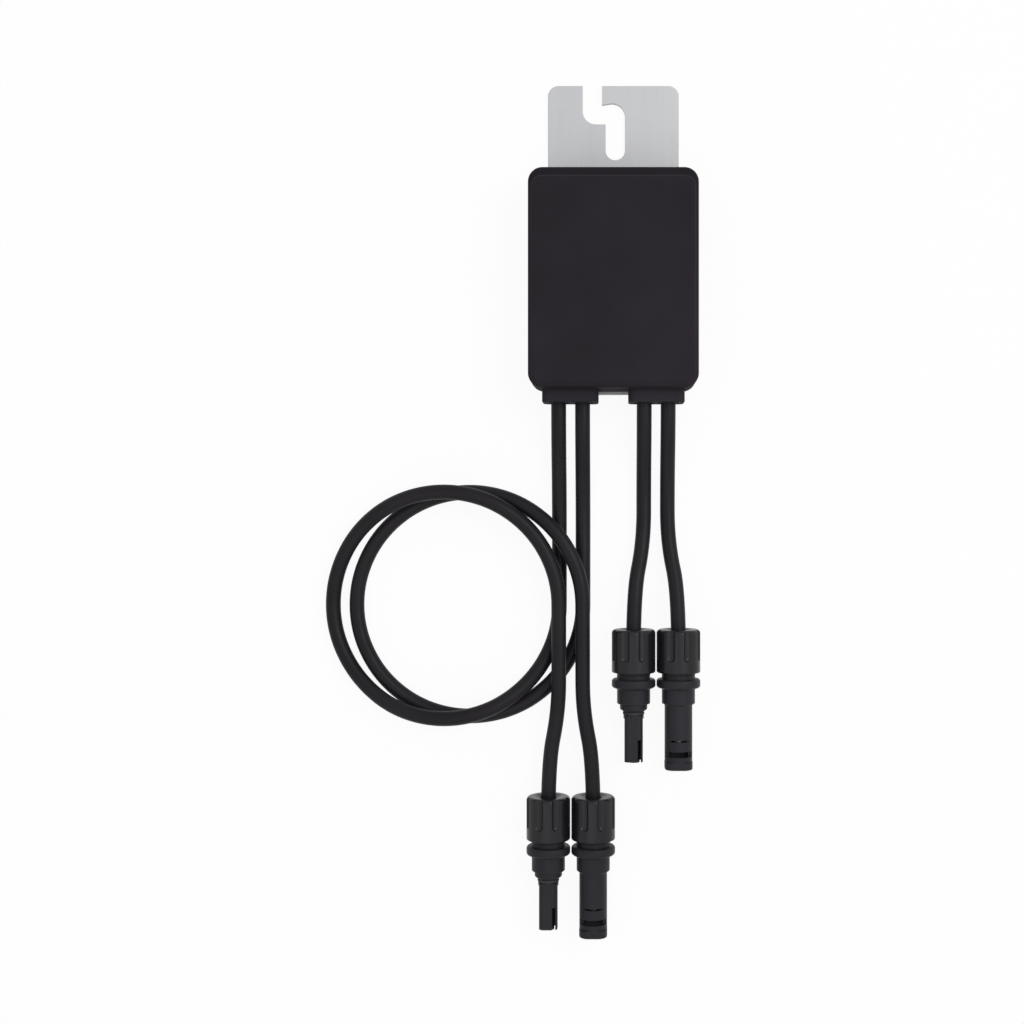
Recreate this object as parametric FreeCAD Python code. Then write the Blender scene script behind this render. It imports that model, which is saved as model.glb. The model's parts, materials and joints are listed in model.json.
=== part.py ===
"""Solar power optimizer: a flat sealed DC converter on a hook plate, with four cables that end in
single-pole cable couplers. Millimetres, +Z up. The object lies on its back: X is across it, Y is
along it with the hook slot at +Y, and Z = 0 is the underside of the mounting plate."""

import FreeCAD, Part
import math
import os

V = FreeCAD.Vector

# Mounting plate, cut from flat sheet
PLATE_WIDTH = 60.0
PLATE_LENGTH = 141.8
PLATE_THICK = 2.0
PLATE_CORNER_R = 4.8
PLATE_EDGE = 0.3
PLATE_TAIL = 1.3
SLOT_WIDTH = 8.85
SLOT_SEAT_X = 0.87
SLOT_ENTRY_OFFSET = 10.52
SLOT_SEAT_DEPTH = 29.67
SLOT_FLOOR_DEPTH = 17.65
SLOT_ROOF_DEPTH = 8.0
SLOT_LIP_DROP = 0.7
SLOT_CORNER_R = 6.0

# Housing: a base tray and a front cover that meet at a parting line
HOUSING_WIDTH = 75.6
HOUSING_LENGTH = 97.3
HOUSING_DEPTH = 26.0
HOUSING_CORNER_R = 6.4
HOUSING_WALL = 2.5
FRONT_EDGE_R = 3.2
BACK_EDGE_R = 1.0
BASE_DEPTH = 6.0
PARTING_GROOVE = 0.5
GASKET_WIDTH = 1.1
GASKET_HEIGHT = 1.2

# Cable exits at the lower end of the housing
GLAND_PITCH = 38.6
GLAND_WIDTH = 25.2
GLAND_HEIGHT = 16.0
GLAND_CORNER_R = 3.2
GLAND_LENGTH = 6.0
GLAND_EDGE = 0.5
GLAND_FLANGE = 1.5
GLAND_FLANGE_THICK = 2.0
SEAL_WALL = 1.5
SEAL_WEB = 1.4
SEAL_WEB_MARGIN = 1.0
SEAL_RECESS = 0.4

# Cables
CABLE_D = 6.8
CABLE_PITCH = 10.8
CABLE_Z = 13.0
CABLE_CLEARANCE = 0.05
CABLE_ARC_SHARE = 0.45
LONG_NUT_Y = -250.9
SHORT_NUT_Y = -175.4
COUPLER_SPREAD = 20.3
COUPLER_LIFT = 0.05

# Circuit board and what it carries
BOARD_CABLE_GAP = 1.0
BOARD_THICK = 1.6
BOARD_LIFT = 2.4
BOARD_CLEARANCE = 0.4
BOARD_CORNER_R = 2.0
INDUCTOR_R = 10.5
INDUCTOR_HEIGHT = 14.0
INDUCTOR_FLANGE = 2.0
INDUCTOR_POST_R = 4.7
WINDING_INSET = 0.8
INDUCTOR_PITCH = 30.0
TRANSISTOR_WIDTH = 10.0
TRANSISTOR_LENGTH = 9.0
TRANSISTOR_HEIGHT = 4.4
TRANSISTOR_TAB = 2.5
TRANSISTOR_TAB_THICK = 1.3
TRANSISTOR_LEG = 3.0
TRANSISTOR_LEG_THICK = 1.0
TRANSISTOR_LEG_PITCH = 5.0
TRANSISTOR_PITCH = 13.5
CAPACITOR_R = 5.0
CAPACITOR_HEIGHT = 12.5
CAPACITOR_PITCH = 11.5
CAPACITOR_BANK_X = 12.8
CAPACITOR_RIM = 0.5
DIODE_SIZE = (10.0, 8.0, 3.5)
CHIP_SIZE = (9.0, 9.0, 1.4)
CHIP_DROP = 8.5
TRANSFORMER_SIZE = (8.0, 11.0, 8.0)
TRANSFORMER_RISE = 7.0
PACKAGE_CORNER_R = 0.4
PAD_THICK = 1.0
PAD_SIZE = (52.0, 13.0)
PAD_CORNER_R = 1.0
SPREADER_SIZE = (54.0, 26.0)
SPREADER_CORNER_R = 2.0
TERMINAL_R = 2.4
TERMINAL_LENGTH = 7.0
TERMINAL_FOOT = 3.0
TERMINAL_FOOT_LENGTH = 4.5
TERMINAL_GAP = 1.0

# Fasteners
COVER_SCREW_R = 1.4
COVER_SCREW_HEAD_R = 2.6
COVER_SCREW_HEAD = 1.6
COVER_SCREW_LENGTH = 13.0
COVER_HOLE_EXTRA = 1.0
PLATE_SCREW_R = 1.5
PLATE_SCREW_HEAD_R = 3.0
PLATE_SCREW_LENGTH = 6.0
BOARD_SCREW_R = 1.2
BOARD_SCREW_HEAD_R = 2.3
BOARD_SCREW_HEAD = 1.3
SCREW_CLEARANCE = 0.15
THREAD_FIT = 0.02
HEAD_SUNK = 0.1
HEAD_SUNK_PLATE = 0.15
RECESS_REACH = 1.2
RECESS_WIDTH = 0.6
RECESS_DEPTH = 0.8
BOSS_WALL = 1.7
COVER_SCREW_INSET_X = 5.5
COVER_SCREW_INSET_TOP = 5.3
COVER_SCREW_INSET_BOTTOM = 15.3
PLATE_SCREW_PITCH_X = 34.0
PLATE_SCREW_INSET_TOP = 13.3
PLATE_SCREW_INSET_BOTTOM = 17.3
BOARD_SCREW_INSET_X = 3.5
BOARD_SCREW_INSET_Y = 3.8

# Couplers. Lengths run from the cable side of the gland nut
NUT_R = 9.9
NUT_LENGTH = 19.5
NUT_GRIP = 14.6
NUT_WALL = 2.0
NUT_HOLE_CLEARANCE = 0.45
NUT_FLUTES = 8
NUT_FLUTE_R = 2.3
NUT_FLUTE_DEPTH = 1.1
NUT_RIM_R = 1.7
NUT_END_R = 0.6
NUT_DISH_R = 6.4
NUT_DISH_DEPTH = 0.9
NUT_CONE = 5.2
NUT_CONE_PLAY = 0.5
THREAD_R = 7.5
THREAD_CLEARANCE = 0.25
SPIGOT_START = 11.5
SPIGOT_BEVEL = 0.5
FLANGE_START = 22.3
FLANGE_END = 26.0
FLANGE_R = 9.9
FLANGE_EDGE_R = 1.2
FLANGE_FOOT = 1.0
BODY_R = 7.5
BODY_END = 33.6
BODY_EDGE_R = 0.4
POCKET_R = 6.0
POCKET_END = 20.5
RUBBER_LENGTH = 6.5
RUBBER_NOSE = 0.8
RUBBER_NOSE_DROP = 0.6
CAGE_START = 4.0
CAGE_RING = 2.2
CAGE_CLAWS = 6
CAGE_CLAW_GAP = 1.4
CAGE_THICK = 1.6
CAGE_BORE_CLEARANCE = 0.15
CAGE_FIT = 0.1
CAGE_IN_SPIGOT = 2.4
CAGE_NOSE = 1.5
CAGE_NOSE_DROP = 0.7
CAGE_CLAW_ROOT = 0.6
CABLE_END = 26.0
CONTACT_CRIMP_R = 2.6
CONTACT_COLLAR_R = 3.3
CONTACT_COLLAR_AT = 34.0
CONTACT_COLLAR = 1.4
CONTACT_CLEARANCE = 0.1
SOCKET_LENGTH = 59.7
SOCKET_STEP = 3.0
SOCKET_STEP_R = 6.2
SOCKET_STEP_EDGE_R = 1.1
SOCKET_SHOULDER = 0.4
SOCKET_SHOULDER_R = 5.0
ORING_D = 1.6
ORING_ROOM = 0.2
ORING_FIT = 0.02
ORING_SEAT_R = 3.3
PROBE_WIDTH = 8.3
PROBE_CORNER_R = 2.2
PROBE_ROOT = 1.4
PROBE_ROOT_R = 4.6
PROBE_FLOOR = 1.2
PROBE_ARM_START = 49.7
PROBE_ARM_THICK = 0.9
PROBE_ARM_DROP = 2.3
PROBE_BARREL_OUT = 0.4
PROBE_SLOT = 0.5
PROBE_STEP_X = 1.7
SHELL_R = 6.27
SHELL_LENGTH = 63.2
SHELL_FOOT = 0.9
SHELL_FOOT_R = 6.67
SHELL_MOUTH_WIDTH = 12.64
SHELL_MOUTH_LENGTH = 3.4
SHELL_MOUTH_CORNER_R = 4.2
SHELL_MOUTH_R = 0.7
SHELL_CAVITY_START = 43.0
SHELL_CLEARANCE = 0.15
SLIT_AT = 49.6
SLIT_LENGTH = 0.9
SLIT_WIDTH = 9.4
SLIT_FLOOR = 3.9
WINDOW_AT = 54.8
WINDOW_LENGTH = 2.6
WINDOW_WIDTH = 11.4
WINDOW_FLOOR = 1.8
PIN_R = 1.95
PIN_END = 54.4
PIN_NOSE = 1.2
PIN_SHANK_R = 2.55
PIN_SHANK_OUT = 0.5
SOCKET_BORE_R = 2.0
SOCKET_BORE_DEPTH = 15.0
SOCKET_CONTACT_R = 2.4
SOCKET_CONTACT_FIT = 0.05
SOCKET_CONTACT_INSET = 1.0

# How far a cut runs past its solid, and how far one piece of a solid reaches into the next
OVER = 1.0
MERGE = 0.5

# How near two places count as one when edges are picked
SAME_PLACE = 1e-4

# Places that follow from the sizes above
OVERALL = PLATE_LENGTH - PLATE_TAIL + GLAND_LENGTH
PLATE_TOP = OVERALL / 2
PLATE_BOTTOM = PLATE_TOP - PLATE_LENGTH
HOUSING_BOTTOM = PLATE_BOTTOM + PLATE_TAIL
HOUSING_TOP = HOUSING_BOTTOM + HOUSING_LENGTH
HOUSING_MID = (HOUSING_TOP + HOUSING_BOTTOM) / 2
HOUSING_BACK = PLATE_THICK
HOUSING_FRONT = HOUSING_BACK + HOUSING_DEPTH
PARTING = HOUSING_BACK + BASE_DEPTH
COVER_SCREW_X = HOUSING_WIDTH / 2 - COVER_SCREW_INSET_X
BOARD_WIDTH = 2 * (COVER_SCREW_X - COVER_SCREW_R - BOSS_WALL - BOARD_CLEARANCE)
FLOOR_TOP = HOUSING_BACK + HOUSING_WALL
BOARD_BACK = FLOOR_TOP + BOARD_LIFT
BOARD_TOP = BOARD_BACK + BOARD_THICK
BOARD_END_Y = HOUSING_TOP - HOUSING_WALL - BOARD_CLEARANCE
GLAND_END = HOUSING_BOTTOM - GLAND_LENGTH
WALL_INSIDE = HOUSING_BOTTOM + HOUSING_WALL
CABLE_R = CABLE_D / 2
CABLE_INNER_END = WALL_INSIDE + GLAND_FLANGE_THICK + SEAL_WEB + TERMINAL_GAP
BOARD_START_Y = CABLE_INNER_END + BOARD_CABLE_GAP
COUPLER_Z = NUT_R + COUPLER_LIFT
SOCKET_STEP_END = BODY_END + SOCKET_STEP
SOCKET_SHOULDER_END = SOCKET_STEP_END + SOCKET_SHOULDER
SOCKET_SEAT_END = SOCKET_SHOULDER_END + ORING_D + ORING_ROOM

# The rows of parts on the board, from its far end down to the cable terminals, evenly spaced
TRANSISTOR_ROW = TRANSISTOR_TAB + TRANSISTOR_LENGTH + TRANSISTOR_LEG
ROWS = (2 * INDUCTOR_R, TRANSISTOR_ROW, 2 * CAPACITOR_R, DIODE_SIZE[1])
ROWS_LENGTH = BOARD_END_Y - CABLE_INNER_END - TERMINAL_LENGTH
ROW_GAP = (ROWS_LENGTH - sum(ROWS)) / (len(ROWS) + 1)
INDUCTOR_Y = BOARD_END_Y - ROW_GAP - INDUCTOR_R
TRANSISTOR_ROW_Y = INDUCTOR_Y - INDUCTOR_R - ROW_GAP - TRANSISTOR_TAB - TRANSISTOR_LENGTH / 2
CAPACITOR_Y = TRANSISTOR_ROW_Y - TRANSISTOR_LENGTH / 2 - TRANSISTOR_LEG - ROW_GAP - CAPACITOR_R
DIODE_Y = CAPACITOR_Y - CAPACITOR_R - ROW_GAP - DIODE_SIZE[1] / 2


def four(x, low, high):
    """Four places, mirrored about X = 0."""
    return [(side * x, y) for side in (-1, 1) for y in (low, high)]


COVER_SCREWS = four(
    COVER_SCREW_X, HOUSING_BOTTOM + COVER_SCREW_INSET_BOTTOM, HOUSING_TOP - COVER_SCREW_INSET_TOP
)
PLATE_SCREWS = four(
    PLATE_SCREW_PITCH_X / 2,
    HOUSING_BOTTOM + PLATE_SCREW_INSET_BOTTOM,
    HOUSING_TOP - PLATE_SCREW_INSET_TOP,
)
BOARD_SCREWS = four(
    BOARD_WIDTH / 2 - BOARD_SCREW_INSET_X,
    DIODE_Y,
    BOARD_END_Y - BOARD_SCREW_INSET_Y,
)

# Cable routes, as the corners that the cable is bent round. Each long cable comes down from the
# housing, makes one full clockwise loop on the ground and goes on over its own start.
LONG_SOCKET_ROUTE = [
    (-24.7, -60.4, 13.0), (-24.7, -86.0, 13.0), (-24.7, -116.0, 3.5), (-24.7, -176.23, 3.5),
    (-34.95, -197.27, 4.9), (-53.39, -211.84, 10.5), (-76.45, -217.0, 11.9), (-99.51, -211.84, 10.3),
    (-117.96, -197.27, 4.8), (-128.2, -176.23, 3.5), (-128.2, -152.92, 3.6), (-117.96, -131.8, 6.5),
    (-99.51, -117.18, 11.2), (-76.45, -112.0, 13.7), (-53.39, -117.18, 13.7), (-34.95, -131.8, 11.7),
    (-24.7, -152.92, 11.1), (-24.7, -212.0, 10.9), (-29.45, -238.0, 9.95), (-29.45, -276.9, 9.95),
]
LONG_PLUG_ROUTE = [
    (-13.9, -60.4, 13.0), (-13.9, -86.0, 13.0), (-13.9, -116.0, 3.5), (-13.9, -176.23, 3.5),
    (-24.15, -197.27, 3.45), (-42.59, -211.84, 3.5), (-65.65, -217.0, 3.45), (-88.71, -211.84, 3.5),
    (-107.16, -197.27, 3.45), (-117.4, -176.23, 3.5), (-117.4, -152.92, 3.45), (-107.16, -131.8, 3.5),
    (-88.71, -117.18, 3.5), (-65.65, -112.0, 4.8), (-42.59, -117.18, 8.3), (-24.15, -131.8, 11.6),
    (-13.9, -152.92, 11.1), (-13.9, -212.0, 10.8), (-9.15, -238.0, 9.95), (-9.15, -276.9, 9.95),
]
SHORT_SOCKET_ROUTE = [
    (13.9, -60.4, 13.0), (13.9, -83.0, 13.0), (13.9, -107.0, 3.5), (13.9, -136.0, 3.5),
    (9.15, -161.0, 9.95), (9.15, -201.4, 9.95),
]
SHORT_PLUG_ROUTE = [
    (24.7, -60.4, 13.0), (24.7, -83.0, 13.0), (24.7, -107.0, 3.5), (24.7, -136.0, 3.5),
    (29.45, -161.0, 9.95), (29.45, -201.4, 9.95),
]


def save(name, solids):
    """Write one node: a solid, or a group of separate solids."""
    if isinstance(solids, list):
        shape = Part.makeCompound(solids)
    else:
        shape = solids
    for solid in shape.Solids:
        if not solid.isValid():
            raise ValueError(name + " holds a solid that is not valid")
    shape.exportStep("parts/" + name + ".step")


def rounded_outline(width, length, radius, mid_x=0.0, mid_y=0.0):
    """A closed wire round a rectangle with rounded corners, in the plane Z = 0."""
    x = width / 2 - radius
    y = length / 2 - radius
    c = radius * math.sqrt(0.5)
    edges = []
    for sx, sy, first_is_x in ((1, 1, True), (-1, 1, False), (-1, -1, True), (1, -1, False)):
        centre = V(mid_x + sx * x, mid_y + sy * y, 0)
        on_x = centre + V(sx * radius, 0, 0)
        on_y = centre + V(0, sy * radius, 0)
        middle = centre + V(sx * c, sy * c, 0)
        start, end = (on_x, on_y) if first_is_x else (on_y, on_x)
        if edges:
            edges.append(Part.makeLine(edges[-1].valueAt(edges[-1].LastParameter), start))
        edges.append(Part.Arc(start, middle, end).toShape())
    last, first = edges[-1], edges[0]
    edges.append(Part.makeLine(last.valueAt(last.LastParameter), first.valueAt(first.FirstParameter)))
    return Part.Wire(edges)


def rounded_block(width, length, radius, z0, z1, mid_x=0.0, mid_y=0.0):
    """An upright block on a rounded rectangle."""
    face = Part.Face(rounded_outline(width, length, radius, mid_x, mid_y))
    face.translate(V(0, 0, z0))
    return face.extrude(V(0, 0, z1 - z0))


def bar_along_y(width, height, radius, y0, y1, mid_x, mid_z):
    """A bar of rounded rectangular section that runs along Y."""
    face = Part.Face(rounded_outline(width, height, radius))
    face.rotate(V(0, 0, 0), V(1, 0, 0), 90)
    face.translate(V(mid_x, y0, mid_z))
    return face.extrude(V(0, y1 - y0, 0))


def box(x0, x1, y0, y1, z0, z1):
    return Part.makeBox(x1 - x0, y1 - y0, z1 - z0, V(x0, y0, z0))


def post(x, y, r, z0, z1):
    return Part.makeCylinder(r, z1 - z0, V(x, y, z0))


def rod(x, z, r, y0, y1):
    """A round bar that runs along Y."""
    return Part.makeCylinder(r, y1 - y0, V(x, y0, z), V(0, 1, 0))


def turned(profile, x, y, z):
    """Revolve (distance below y, radius) points about the coupler's own axis."""
    points = [V(x + r, y - t, z) for t, r in profile]
    points.append(points[0])
    face = Part.Face(Part.makePolygon(points))
    return face.revolve(V(x, y, z), V(0, 1, 0), 360)


def edges_at_z(shape, z):
    """The edges that lie wholly at one height."""
    found = []
    for edge in shape.Edges:
        b = edge.BoundBox
        if abs(b.ZMin - z) < SAME_PLACE and abs(b.ZMax - z) < SAME_PLACE:
            found.append(edge)
    return found


def edges_at_y(shape, y):
    """The edges that lie wholly at one place along Y."""
    found = []
    for edge in shape.Edges:
        b = edge.BoundBox
        if abs(b.YMin - y) < SAME_PLACE and abs(b.YMax - y) < SAME_PLACE:
            found.append(edge)
    return found


def edges_round_axis(shape, radius, y):
    """The whole circles of one radius about a coupler's axis, at one place along it."""
    return [e for e in edges_at_y(shape, y) if abs(e.BoundBox.XLength / 2 - radius) < SAME_PLACE]


# Mounting plate
def slot_face():
    """The hook slot: in from the top edge, across to one side and down to its seat."""
    top = PLATE_TOP + OVER
    half = SLOT_WIDTH / 2
    seat = V(SLOT_SEAT_X, PLATE_TOP - SLOT_SEAT_DEPTH, 0)
    left = SLOT_SEAT_X - half
    right = SLOT_SEAT_X + half
    entry_left = SLOT_SEAT_X - SLOT_ENTRY_OFFSET - half
    entry_right = entry_left + SLOT_WIDTH
    floor = PLATE_TOP - SLOT_FLOOR_DEPTH
    roof = PLATE_TOP - SLOT_ROOF_DEPTH
    r = SLOT_CORNER_R
    c = r * math.sqrt(0.5)
    low = V(entry_left + r, floor + r, 0)
    high = V(right - r, roof - r, 0)
    crown = V(high.x, roof, 0)
    lip = V(entry_right, roof - SLOT_LIP_DROP, 0)
    edges = [
        Part.makeLine(V(entry_left, top, 0), V(entry_left, low.y, 0)),
        Part.Arc(V(entry_left, low.y, 0), low + V(-c, -c, 0), V(low.x, floor, 0)).toShape(),
        Part.makeLine(V(low.x, floor, 0), V(left, floor, 0)),
        Part.makeLine(V(left, floor, 0), V(left, seat.y, 0)),
        Part.Arc(V(left, seat.y, 0), seat + V(0, -half, 0), V(right, seat.y, 0)).toShape(),
        Part.makeLine(V(right, seat.y, 0), V(right, high.y, 0)),
        Part.Arc(V(right, high.y, 0), high + V(c, c, 0), crown).toShape(),
        Part.makeLine(crown, lip),
        Part.makeLine(lip, V(entry_right, top, 0)),
        Part.makeLine(V(entry_right, top, 0), V(entry_left, top, 0)),
    ]
    return Part.Face(Part.Wire(edges))


def mounting_plate():
    plate = rounded_block(
        PLATE_WIDTH, PLATE_LENGTH, PLATE_CORNER_R, 0, PLATE_THICK,
        mid_y=(PLATE_TOP + PLATE_BOTTOM) / 2,
    )
    plate = plate.makeChamfer(PLATE_EDGE, edges_at_z(plate, 0) + edges_at_z(plate, PLATE_THICK))
    slot = slot_face()
    slot.translate(V(0, 0, -OVER))
    plate = plate.cut(slot.extrude(V(0, 0, PLATE_THICK + 2 * OVER)))
    for x, y in PLATE_SCREWS:
        sink = PLATE_SCREW_HEAD_R + SCREW_CLEARANCE
        hole = PLATE_SCREW_R + SCREW_CLEARANCE
        plate = plate.cut(Part.makeCone(sink, hole, sink - hole, V(x, y, 0)))
        plate = plate.cut(post(x, y, hole, -OVER, PLATE_THICK + OVER))
    return plate


# Housing
def housing_inside(z0):
    """The space inside the housing's walls, from a height up to the cover."""
    less = 2 * HOUSING_WALL
    return rounded_block(
        HOUSING_WIDTH - less, HOUSING_LENGTH - less, HOUSING_CORNER_R - less / 2,
        z0, HOUSING_FRONT - HOUSING_WALL, mid_y=HOUSING_MID,
    )


def gland_block_body(mid_x, y0, y1):
    return bar_along_y(GLAND_WIDTH, GLAND_HEIGHT, GLAND_CORNER_R, y0, y1, mid_x, CABLE_Z)


def cut_gland_openings(shell):
    for side in (-1, 1):
        mid_x = side * GLAND_PITCH / 2
        shell = shell.cut(gland_block_body(mid_x, HOUSING_BOTTOM - OVER, WALL_INSIDE + OVER))
    return shell


def housing_base():
    """The tray: floor, wall, board standoffs and screw bosses."""
    width, length, r = HOUSING_WIDTH, HOUSING_LENGTH, HOUSING_CORNER_R
    base = rounded_block(width, length, r, HOUSING_BACK, PARTING, mid_y=HOUSING_MID)
    base = base.makeFillet(BACK_EDGE_R, edges_at_z(base, HOUSING_BACK))
    base = base.cut(housing_inside(FLOOR_TOP))
    for x, y in PLATE_SCREWS:
        boss_top = BOARD_BACK - BOARD_CLEARANCE
        base = base.fuse(post(x, y, PLATE_SCREW_R + BOSS_WALL, FLOOR_TOP - MERGE, boss_top))
    for x, y in BOARD_SCREWS:
        base = base.fuse(post(x, y, BOARD_SCREW_R + BOSS_WALL, FLOOR_TOP - MERGE, BOARD_BACK))
    for x, y in PLATE_SCREWS:
        base = base.cut(post(x, y, PLATE_SCREW_R, HOUSING_BACK - OVER, BOARD_BACK))
    for x, y in BOARD_SCREWS:
        base = base.cut(post(x, y, BOARD_SCREW_R, FLOOR_TOP, BOARD_BACK + OVER))
    for x, y in COVER_SCREWS:
        head = COVER_SCREW_HEAD_R + SCREW_CLEARANCE
        base = base.cut(post(x, y, head, HOUSING_BACK - OVER, HOUSING_BACK + COVER_SCREW_HEAD))
        base = base.cut(post(x, y, COVER_SCREW_R + SCREW_CLEARANCE, HOUSING_BACK, PARTING + OVER))
    return cut_gland_openings(base).removeSplitter()


def front_cover():
    """The deep cover: a shell with a wide rounded front edge, a gasket step and screw bosses."""
    width, length, r = HOUSING_WIDTH, HOUSING_LENGTH, HOUSING_CORNER_R
    depth = HOUSING_BACK + COVER_SCREW_HEAD + COVER_SCREW_LENGTH + COVER_HOLE_EXTRA
    outer = rounded_block(width, length, r, PARTING, HOUSING_FRONT, mid_y=HOUSING_MID)
    outer = outer.makeFillet(FRONT_EDGE_R, edges_at_z(outer, HOUSING_FRONT))
    groove_top = PARTING + PARTING_GROOVE
    groove = rounded_block(width + 2 * OVER, length + 2 * OVER, r + OVER, PARTING, groove_top,
                           mid_y=HOUSING_MID)
    inset = 2 * PARTING_GROOVE
    groove = groove.cut(rounded_block(width - inset, length - inset, r - PARTING_GROOVE,
                                      PARTING - OVER, groove_top + OVER, mid_y=HOUSING_MID))
    cover = outer.cut(groove)
    cover = cover.cut(housing_inside(PARTING - OVER))
    for x, y in COVER_SCREWS:
        boss = post(x, y, COVER_SCREW_R + BOSS_WALL, PARTING, HOUSING_FRONT - HOUSING_WALL + MERGE)
        cover = cover.fuse(boss)
    cover = cover.cut(gasket_ring())
    for x, y in COVER_SCREWS:
        cover = cover.cut(post(x, y, COVER_SCREW_R, PARTING - OVER, depth))
    return cut_gland_openings(cover).removeSplitter()


def gasket_ring():
    """The seal in the step of the cover's rim, pressed on the rim of the base."""
    outer = 2 * (HOUSING_WALL - GASKET_WIDTH)
    r = HOUSING_CORNER_R
    top = PARTING + GASKET_HEIGHT
    ring = rounded_block(HOUSING_WIDTH - outer, HOUSING_LENGTH - outer, r - outer / 2,
                         PARTING, top, mid_y=HOUSING_MID)
    return ring.cut(housing_inside(PARTING - OVER))


def cover_gasket():
    return cut_gland_openings(gasket_ring())


def cable_places(mid_x):
    return (mid_x - CABLE_PITCH / 2, mid_x + CABLE_PITCH / 2)


def gland_block(mid_x):
    """The moulded exit block of one cable pair, with a flange behind the housing wall."""
    block = gland_block_body(mid_x, GLAND_END, WALL_INSIDE + GLAND_FLANGE_THICK)
    block = block.makeFillet(GLAND_EDGE, edges_at_y(block, GLAND_END))
    height = 2 * (CABLE_Z - FLOOR_TOP)
    flange = bar_along_y(
        GLAND_WIDTH + 2 * GLAND_FLANGE, height, GLAND_CORNER_R + GLAND_FLANGE / 2,
        WALL_INSIDE, WALL_INSIDE + GLAND_FLANGE_THICK, mid_x, CABLE_Z,
    )
    block = block.fuse(flange.common(housing_inside(FLOOR_TOP)))
    for x in cable_places(mid_x):
        far = WALL_INSIDE + GLAND_FLANGE_THICK + OVER
        block = block.cut(rod(x, CABLE_Z, CABLE_R + SEAL_WALL, GLAND_END - OVER, far))
    return block.removeSplitter()


def twin_seal(mid_x):
    """The rubber seal of one cable pair: two sleeves joined by a web."""
    web_y = WALL_INSIDE + GLAND_FLANGE_THICK
    end = web_y + SEAL_WEB
    start = GLAND_END + SEAL_RECESS
    sleeve_r = CABLE_R + SEAL_WALL
    seal = bar_along_y(
        GLAND_WIDTH - 2 * SEAL_WEB_MARGIN, 2 * (sleeve_r + SEAL_WEB_MARGIN), GLAND_CORNER_R,
        web_y, end, mid_x, CABLE_Z,
    )
    for x in cable_places(mid_x):
        seal = seal.fuse(rod(x, CABLE_Z, sleeve_r, start, end))
    for x in cable_places(mid_x):
        seal = seal.cut(rod(x, CABLE_Z, CABLE_R + CABLE_CLEARANCE, start - OVER, end + OVER))
    return seal.removeSplitter()


# Fasteners
def cover_screw(x, y):
    """A pan head screw that goes in from the back."""
    low = HOUSING_BACK + HEAD_SUNK
    end = HOUSING_BACK + COVER_SCREW_HEAD + COVER_SCREW_LENGTH
    head = post(x, y, COVER_SCREW_HEAD_R, low, HOUSING_BACK + COVER_SCREW_HEAD)
    screw = head.fuse(post(x, y, COVER_SCREW_R - THREAD_FIT, low, end))
    return screw.cut(cross_recess(x, y, low)).removeSplitter()


def cross_recess(x, y, z, up=1):
    """The cross for the driver, cut into a head from z."""
    a, b = RECESS_REACH, RECESS_WIDTH / 2
    z0, z1 = sorted((z - up * OVER, z + up * RECESS_DEPTH))
    return box(x - a, x + a, y - b, y + b, z0, z1).fuse(box(x - b, x + b, y - a, y + a, z0, z1))


def plate_screw(x, y):
    """A countersunk screw that holds the plate to the base."""
    low = HEAD_SUNK_PLATE
    depth = PLATE_SCREW_HEAD_R - PLATE_SCREW_R
    head = Part.makeCone(PLATE_SCREW_HEAD_R, PLATE_SCREW_R, depth, V(x, y, low))
    screw = head.fuse(post(x, y, PLATE_SCREW_R - THREAD_FIT, low, low + PLATE_SCREW_LENGTH))
    return screw.cut(cross_recess(x, y, low)).removeSplitter()


def board_screw(x, y):
    top = BOARD_TOP + BOARD_SCREW_HEAD
    head = post(x, y, BOARD_SCREW_HEAD_R, BOARD_TOP, top)
    screw = head.fuse(post(x, y, BOARD_SCREW_R - THREAD_FIT, FLOOR_TOP + HEAD_SUNK, top))
    return screw.cut(cross_recess(x, y, top, up=-1)).removeSplitter()


# Circuit
def circuit_board():
    board = rounded_block(
        BOARD_WIDTH, BOARD_END_Y - BOARD_START_Y, BOARD_CORNER_R, BOARD_BACK, BOARD_TOP,
        mid_y=(BOARD_END_Y + BOARD_START_Y) / 2,
    )
    hole = BOARD_SCREW_R + SCREW_CLEARANCE
    for x, y in BOARD_SCREWS:
        board = board.cut(post(x, y, hole, BOARD_BACK - OVER, BOARD_TOP + OVER))
    return board


def on_board(size, y):
    """A plain package that stands on the board's centre line."""
    width, length, height = size
    return rounded_block(width, length, PACKAGE_CORNER_R, BOARD_TOP, BOARD_TOP + height, mid_y=y)


def inductor_core(x):
    """A ferrite drum: two flanges and a centre post."""
    y, z = INDUCTOR_Y, BOARD_TOP
    top = z + INDUCTOR_HEIGHT
    core = post(x, y, INDUCTOR_R, z, z + INDUCTOR_FLANGE)
    core = core.fuse(post(x, y, INDUCTOR_POST_R, z, top))
    return core.fuse(post(x, y, INDUCTOR_R, top - INDUCTOR_FLANGE, top)).removeSplitter()


def inductor_winding(x):
    low = BOARD_TOP + INDUCTOR_FLANGE
    high = BOARD_TOP + INDUCTOR_HEIGHT - INDUCTOR_FLANGE
    coil = post(x, INDUCTOR_Y, INDUCTOR_R - WINDING_INSET, low, high)
    return coil.cut(post(x, INDUCTOR_Y, INDUCTOR_POST_R, low - OVER, high + OVER))


def capacitor_bank(side):
    """Two can capacitors on one side of the board."""
    top = BOARD_TOP + CAPACITOR_HEIGHT
    cans = []
    for step in (-1, 1):
        x = side * CAPACITOR_BANK_X + step * CAPACITOR_PITCH / 2
        can = post(x, CAPACITOR_Y, CAPACITOR_R, BOARD_TOP, top)
        cans.append(can.makeChamfer(CAPACITOR_RIM, edges_at_z(can, top)))
    return cans


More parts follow.
